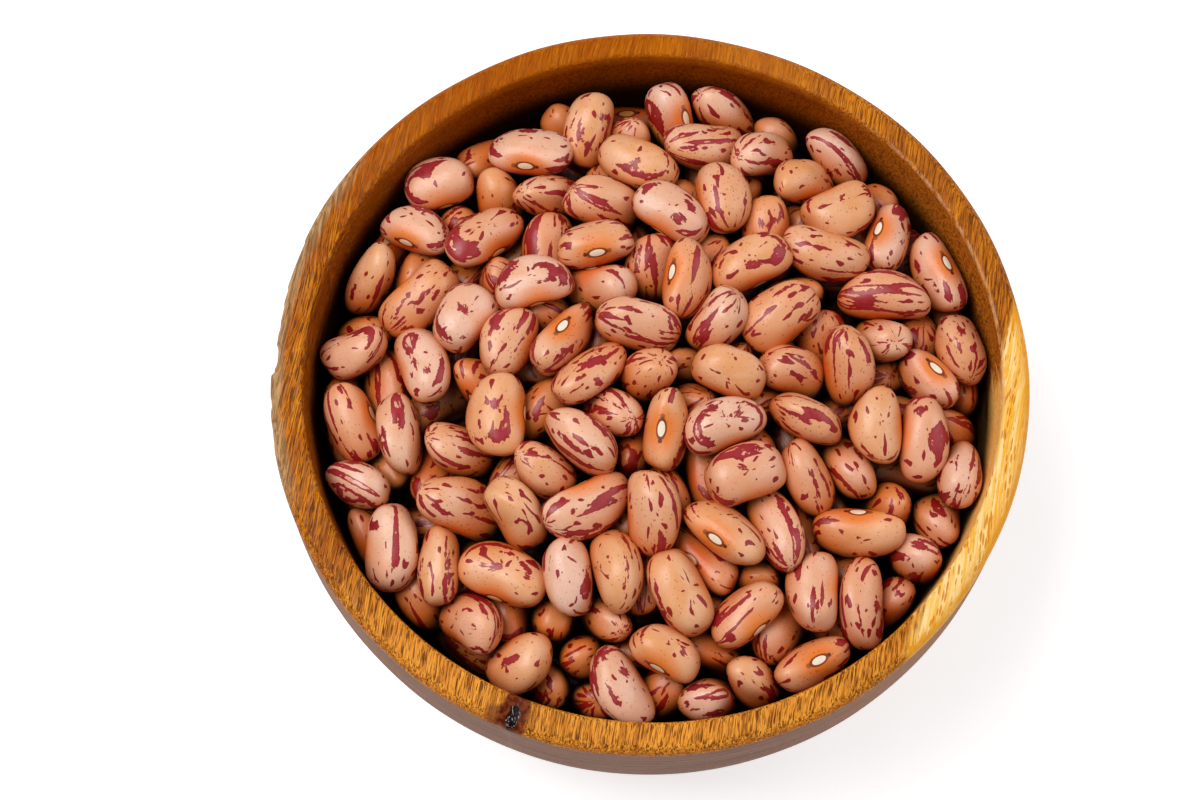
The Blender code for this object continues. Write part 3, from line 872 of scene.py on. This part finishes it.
SHOWING_DEPTH = 0.0135
BEAN_LOWERED = 0.0002
FLANK_SHADE = 4.0
SCAR_REACH = 1.4
SCAR_INSETS = ((0.030, 0.008), (0.022, -0.014), (0.018, -0.012), (0.020, 0.008))
BLUNT = 2.45
BLUNT_STRAY = 0.35
TAPER = 0.07
LUMP = 0.00016
DENT = 0.00042
DENT_SPREAD = 0.16
LUMP_UNIT = 0.005
BEND_MIDDLE = 0.35


def bean_model(name, segments, rings, scar):
    """One bean as a ball with its pole at the scar, on the +Y side; the scar is inset there."""
    deselect_all()
    bpy.ops.mesh.primitive_uv_sphere_add(
        segments=segments, ring_count=rings, radius=1.0, location=(0.0, 0.0, 0.0))
    model = made_object(name)
    model.rotation_euler = (math.radians(-90.0), 0.0, 0.0)
    into_mesh(model)
    if scar:
        mesh = model.data
        bpy.ops.object.mode_set(mode="EDIT")
        bpy.ops.mesh.select_mode(type="FACE")
        bpy.ops.mesh.select_all(action="DESELECT")
        bpy.ops.object.mode_set(mode="OBJECT")
        for face in mesh.polygons:
            face.select = face.center.y > math.cos(SCAR_REACH * math.pi / rings)
        bpy.ops.object.mode_set(mode="EDIT")
        for width, depth in SCAR_INSETS:
            bpy.ops.mesh.inset(thickness=width, depth=depth)
        bpy.ops.object.mode_set(mode="OBJECT")
    return model


def mesh_arrays(mesh):
    """Corner places, and each face's corners, of a mesh that is all triangles."""
    corners = np.empty(len(mesh.polygons) * 3, int)
    mesh.polygons.foreach_get("vertices", corners)
    return mesh_places(mesh), corners.reshape(-1, 3)


def as_triangles(thing):
    """Arrays of the object's mesh, cut into triangles. The object itself goes."""
    deselect_all()
    thing.select_set(True)
    bpy.context.view_layer.objects.active = thing
    bpy.ops.object.mode_set(mode="EDIT")
    bpy.ops.mesh.select_all(action="SELECT")
    bpy.ops.mesh.quads_convert_to_tris()
    bpy.ops.object.mode_set(mode="OBJECT")
    arrays = mesh_arrays(thing.data)
    bpy.data.objects.remove(thing, do_unlink=True)
    return arrays


def bean_shape(ball, half, draw):
    """The ball's points as one bean's own shape, in its own axes."""
    x, y, z = ball.T
    blunt = BLUNT + BLUNT_STRAY * draw[0]
    reach = (np.abs(x) ** blunt + (y * y + z * z) ** (0.5 * blunt)) ** (1.0 / blunt)
    x, y, z = x / reach, y / reach, z / reach
    taper = 1.0 + TAPER * draw[1] * x
    waves = np.sin(3.1 * x + 2.3 * y + 9.0 * draw[2]) + np.sin(4.3 * z - 2.9 * x + 7.0 * draw[0])
    from_dent = (x - 0.5 * draw[1]) ** 2 + (z - 0.8 * np.sign(draw[2])) ** 2
    dent = DENT * max(0.0, draw[3]) * np.exp(-from_dent / DENT_SPREAD)
    shape = np.stack((
        x * half[0], y * half[1] * taper + BEAN_BEND * (x * x - BEND_MIDDLE), z * half[2] * taper), -1)
    return shape * (1.0 + (LUMP * waves - dent)[:, None] / LUMP_UNIT)


def beans_inside(places):
    """The same points, pulled in where they would touch the wall of the hollow."""
    away = np.hypot(places[:, 0], places[:, 1])
    room = hollow_radius(places[:, 2], DEEPEST_POINT) - WALL_GAP
    pull = np.minimum(1.0, room / np.maximum(away, 1e-6))
    return np.stack((places[:, 0] * pull, places[:, 1] * pull, places[:, 2]), -1)


beans = Beans(BEAN_SEED)
beans.settle()
fine_bean = as_triangles(bean_model("bean_model", 40, 26, True))
deep_bean = as_triangles(bean_model("hidden_bean_model", 16, 10, False))
looks = random.Random(BEAN_SEED + 1)
# Each bean's draws: four for its shape, three for its skin, and the last for its kind.
bean_draws = [[2.0 * looks.random() - 1.0 for _ in range(8)] for _ in range(BEANS)]


def shade_depths(mesh):
    """How far each point is under the heap's top in millimetres, more where it faces down; it sets the
    painted shade.
    """
    ways = np.empty(len(mesh.vertices) * 3)
    mesh.vertex_normals.foreach_get("vector", ways)
    x, y, z = (mesh_places(mesh) - np.array(HOLLOW_SHIFT)).T
    upward = ways.reshape(-1, 3)[:, 2]
    return 1000.0 * (heap_height(x * x + y * y) - z) + FLANK_SHADE * (1.0 - upward)


def joined_beans(name, numbers):
    """One mesh of many beans, with each point's place in its own bean kept as an attribute."""
    places, corners, own_places, own_draws = [], [], [], []
    count = 0
    for number in numbers:
        centre = beans.centre[number]
        square = centre[0] * centre[0] + centre[1] * centre[1]
        fine = heap_height(square) - centre[2] < SHOWING_DEPTH
        ball, faces = fine_bean if fine else deep_bean
        draw = bean_draws[number]
        shape = bean_shape(ball, beans.half[number], draw)
        axes = beans.axes(number)
        turned = shape[:, 0:1] * axes[:, 0] + shape[:, 1:2] * axes[:, 1] + shape[:, 2:3] * axes[:, 2]
        shift = np.array(HOLLOW_SHIFT) - (0.0, 0.0, BEAN_LOWERED)
        places.append(beans_inside(turned + centre) + shift)
        corners.append(faces + count)
        own_places.append(shape * 1000.0)
        own_draws.append(np.repeat([draw[4:7]], len(ball), axis=0))
        count += len(ball)
    mesh = bpy.data.meshes.new(name)
    mesh.from_pydata(np.concatenate(places), [], np.concatenate(corners))
    mesh.update()
    # Painted shade of the skins: each point's depth under the heap's top.
    painted_shade_depth = mesh.attributes.new("bean_painted_shade_depth", "FLOAT", "POINT")
    painted_shade_depth.data.foreach_set("value", shade_depths(mesh).astype(np.float32))
    for label, rows in (("bean_place", own_places), ("bean_draw", own_draws)):
        kept = mesh.attributes.new(label, "FLOAT_VECTOR", "POINT")
        kept.data.foreach_set("vector", np.concatenate(rows).astype(np.float32).ravel())
    mesh.shade_smooth()
    made = bpy.data.objects.new(name, mesh)
    scene.collection.objects.link(made)
    return made


ORANGE_BEAN = from_screen(216, 138, 84)
NEAR_SCAR = from_screen(222, 114, 22)
MOTTLE = from_screen(198, 124, 84)
DEEP_WINE = from_screen(126, 2, 20)
PALE_WINE = from_screen(172, 50, 66)
SCAR_RING = from_screen(112, 34, 10)
SCAR_DARK = from_screen(226, 204, 178)
SCAR_LIGHT = from_screen(244, 232, 212)
SCAR_DOT = from_screen(74, 26, 26)
SCAR_DOTS = ((2.25, 0.42, 0.95), (-2.3, 0.5, 0.6))
SCAR_HALF = (1.35, 0.63)
FLANK_PAINTED_BOUNCE_TINT = (0.84, 0.40, 0.12)
DEEP_PAINTED_SHADE = from_screen(26, 6, 2)
SKIN_SPECULAR = 0.38


def bean_finish(name, body, tint, streaks, specks, wine, banded):
    """Bean skin. Streaks and specks say how much of the skin each kind of marking covers, and
    banded says whether the streaks bend round the bean's flat sides or run from end to end."""
    skin = Finish(name)
    place = skin.attribute("bean_place")[1]
    draw = skin.parts(skin.attribute("bean_draw")[1])
    x, y, z = skin.parts(place)
    seed = skin.times(draw[0], 57.0)

    def squares(*parts):
        """Square root of the sum of the squares of some parts, each with its own weight."""
        total = 0.0
        for part, weight in parts:
            total = skin.sum_of("MULTIPLY_ADD", skin.times(part, part), weight, total)
        return skin.sum_of("SQRT", skin.plus(total, 1.2))

    girth = squares((y, 1.0), (z, 1.0))
    outline = squares((x, 0.42), (y, 1.0))
    whole = squares((x, 0.30), (y, 0.8), (z, 1.3))

    def along(length, width):
        """Coordinates for a marking drawn out from end to end, or round the flat sides."""
        if banded:
            return skin.joined(
                skin.plus(skin.times(skin.over(x, outline), 4.2 * length), seed),
                skin.times(skin.over(y, outline), 6.0 * length),
                skin.times(skin.over(z, whole), 1.5 * width))
        return skin.joined(
            skin.plus(skin.times(x, length), seed),
            skin.times(skin.over(y, girth), width),
            skin.times(skin.over(z, girth), width))

    # Distances from the scar: an oval of 2.7 by 1.3 mm on the +Y side.
    far_side = skin.slope(y, 0.5, 1.5, 9.0, 0.0)
    scar_off = skin.length_of(skin.over(x, SCAR_HALF[0]), skin.over(z, SCAR_HALF[1]))
    scar_off = skin.plus(scar_off, far_side)
    scar_near = skin.length_of(skin.times(x, 0.72), z)
    scar_near = skin.plus(scar_near, skin.slope(y, 0.0, 2.5, 6.0, 0.0))

    # Ground colour: tan to pink, more orange near the scar and on some beans.
    cloud = skin.noise(along(0.12, 0.9), 1.0, 2.0)
    mottled = skin.noise(place, 2.2, 4.0, 0.65)
    ground = skin.mixed(skin.slope(cloud, 0.32, 0.68), body, tint)
    ground = skin.mixed(skin.slope(draw[1], 0.1, 1.0, 0.0, 0.5), ground, ORANGE_BEAN)
    ground = skin.mixed(skin.slope(scar_near, 1.2, 4.4, 0.92, 0.0), ground, NEAR_SCAR)
    ground = skin.mixed(skin.slope(mottled, 0.40, 0.75, 0.0, 0.22), ground, MOTTLE)

    # Streaks have ragged edges, a paler middle, and bare skin inside the broadest. There are
    # dashes and small specks between them.
    broad = skin.noise(along(0.07, 0.75), 1.0, 0.0)
    narrow = skin.noise(along(0.11, 3.0), 1.0, 0.5)
    ragged = skin.noise(along(0.85, 6.5), 1.0, 2.0, 0.6)
    streak = skin.added(skin.added(narrow, ragged, 0.26), broad, 0.24)
    bare = skin.slope(scar_near, 2.0, 4.2, 0.30, 0.0)
    level = skin.plus(skin.plus(skin.times(draw[2], 0.030), 0.72 - streaks), bare)
    over = skin.minus(streak, level)
    bare_middle = skin.slope(over, 0.165, 0.185, 1.0, 0.12)
    streak = skin.times(skin.slope(over, -0.006, 0.012), bare_middle)
    dash = skin.added(skin.noise(along(0.42, 3.4), 1.0, 0.5), ragged, 0.12)
    dash = skin.slope(skin.minus(dash, skin.plus(0.76 - specks, bare)), -0.004, 0.012)
    small = skin.cells(along(1.0, 6.0))[0]
    small = skin.slope(skin.minus(1.45 * specks, small), -0.03, 0.03, 0.0, 0.6)
    marking = skin.sum_of("MAXIMUM", streak, skin.sum_of("MAXIMUM", dash, small))
    red = skin.mixed(skin.noise(along(0.5, 3.0), 1.0, 2.0), wine, DEEP_WINE)
    red = skin.mixed(skin.slope(over, 0.03, 0.09, 0.0, 0.3), red, PALE_WINE)
    colour = skin.mixed(skin.times(marking, 0.97), ground, red)

    # Scar: cream, inside a brown ring, with a dark dot at each end.
    cream = skin.mixed(skin.noise(place, 3.0, 2.0), SCAR_DARK, SCAR_LIGHT)
    colour = skin.mixed(skin.slope(scar_off, 1.35, 1.75, 0.92, 0.0), colour, SCAR_RING)
    colour = skin.mixed(skin.slope(scar_off, 1.0, 1.12, 1.0, 0.0), colour, cream)
    for middle, size, strength in SCAR_DOTS:
        dot_off = skin.plus(skin.length_of(skin.minus(x, middle), z), far_side)
        dot = skin.slope(dot_off, size * 0.7, size * 1.15, strength, 0.0)
        colour = skin.mixed(dot, colour, SCAR_DOT)

    # Painted shade: an orange tint on a bean's flanks, and dark deep between the beans.
    under = skin.attribute("bean_painted_shade_depth")[2]
    painted_flank_tint = skin.mixed(1.0, colour, FLANK_PAINTED_BOUNCE_TINT, "MULTIPLY")
    colour = skin.mixed(skin.slope(under, -0.5, 7.5), colour, painted_flank_tint)
    colour = skin.mixed(skin.slope(under, 6.0, 11.5, 0.0, 0.97), colour, DEEP_PAINTED_SHADE)
    shine = skin.slope(skin.noise(place, 1.1, 2.0), 0.3, 0.7, 0.28, 0.38)
    skin.shader.inputs["Specular IOR Level"].default_value = SKIN_SPECULAR
    normal = skin.relief(skin.noise(place, 1.6, 4.0, 0.6), 0.00007, 0.55)
    return skin.show(colour, shine, normal)


# Each kind's name, skin colours, shares of streaks and specks, wine colour, and whether banded.
KINDS = (
    ("streaked_beans", (225, 178, 150), (219, 158, 122), 0.130, 0.092, (152, 0, 26), False),
    ("speckled_beans", (223, 172, 140), (217, 152, 108), 0.088, 0.124, (154, 0, 28), False),
    ("banded_beans", (226, 181, 158), (219, 164, 132), 0.129, 0.088, (148, 0, 26), True),
    ("plain_beans", (224, 168, 128), (217, 150, 98), 0.047, 0.095, (152, 2, 28), True))

for kind_number, (name, body, tint, streaks, specks, wine, banded) in enumerate(KINDS):
    numbers = [
        number for number in range(BEANS)
        if int((bean_draws[number][7] + 1.0) * 0.5 * len(KINDS)) == kind_number]
    piece = joined_beans(name, numbers)
    piece.data.materials.append(bean_finish(
        name + "_skin", from_screen(*body), from_screen(*tint), streaks, specks,
        from_screen(*wine), banded))
    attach(piece, "root")
    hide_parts("bean_heap")


# Beans underneath: the part of the heap that nothing shows. It is one lumpy mass with painted shade for
# colour, which lies loose in the hollow and reaches down to its floor.
MASS_GAP = 0.0006
MASS_SEGMENTS = 96
MASS_RISE = 0.003
MASS_TOP_GAP = 0.002
MASS_TOP_RINGS = 12
MASS_TURN = 78
MASS_TURN_STEP = 6
MASS_LUMP = 0.0009
LUMPY_ZONE = (28.0, 32.0)
SHADOW_TAN = from_screen(150, 92, 62)
SHADOW_BROWN = from_screen(40, 18, 12)
SHADOW_WINE = from_screen(96, 16, 28)


def mass_steps():
    """Radius and height of each ring of the mass, from its floor up the wall and over its top."""
    steps = []
    floor_level = RIM_LEVEL - HOLLOW_DEPTH + MASS_GAP
    edge_level = heap_height(HOLLOW_RADIUS * HOLLOW_RADIUS) - LAYERS_DEPTH + MASS_RISE
    for turn in range(MASS_TURN, -1, -MASS_TURN_STEP):
        height = edge_level + (floor_level - edge_level) * math.sin(math.radians(turn))
        steps.append((hollow_radius(height) - MASS_GAP, height))
    for number in range(MASS_TOP_RINGS - 1, 0, -1):
        radius = (HOLLOW_RADIUS - MASS_TOP_GAP) * number / MASS_TOP_RINGS
        steps.append((radius, heap_height(radius * radius) - LAYERS_DEPTH + MASS_RISE))
    return steps


deselect_all()
ring = mass_steps()[0]
bpy.ops.mesh.primitive_circle_add(
    vertices=MASS_SEGMENTS, radius=ring[0], fill_type="TRIFAN",
    location=(HOLLOW_SHIFT.x, HOLLOW_SHIFT.y, ring[1]))
mass = made_object("beans_underneath")
into_mesh(mass)
moved_places(mass, lambda places: places - np.array(HOLLOW_SHIFT))
select_ring(mass, ring[0], ring[1])
moved_places(mass, lambda places: places + np.array(HOLLOW_SHIFT))
bpy.ops.object.mode_set(mode="EDIT")
bpy.ops.mesh.select_mode(type="EDGE")
for following in mass_steps()[1:]:
    pull_ring(ring, following, HOLLOW_SHIFT)
    ring = following
bpy.ops.mesh.edge_face_add()
bpy.ops.mesh.select_mode(type="FACE")
bpy.ops.mesh.poke()
bpy.ops.mesh.select_all(action="SELECT")
bpy.ops.mesh.normals_make_consistent(inside=False)
bpy.ops.object.mode_set(mode="OBJECT")


def lumpy_places(places):
    """The mass's points, with lumps on its top."""
    x, y, z = places.T * 1000.0
    lumps = np.sin(0.62 * x + 1.3 * np.sin(0.31 * y)) * np.sin(0.55 * y + 1.1 * np.sin(0.37 * x))
    return places + np.stack((0 * x, 0 * y, ramp(z, *LUMPY_ZONE) * lumps * MASS_LUMP), -1)


moved_places(mass, lumpy_places)
mass.data.shade_smooth()


def mass_finish():
    skin = Finish("beans_in_shadow")
    place = skin.objects()
    spots = skin.cells(place, 95.0)
    patch = skin.noise(place, 240.0, 3.0)
    colour = skin.mixed(skin.slope(spots[0], 0.25, 0.6), SHADOW_TAN, SHADOW_BROWN)
    colour = skin.mixed(skin.slope(patch, 0.58, 0.64, 0.0, 0.8), colour, SHADOW_WINE)
    height = skin.slope(spots[0], 0.1, 0.7, 1.0, 0.0)
    return skin.show(colour, skin.slope(patch, 0.3, 0.7, 0.45, 0.6), skin.relief(height, 0.002))


mass.data.materials.append(mass_finish())
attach(mass, "root")
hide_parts("bean_heap")
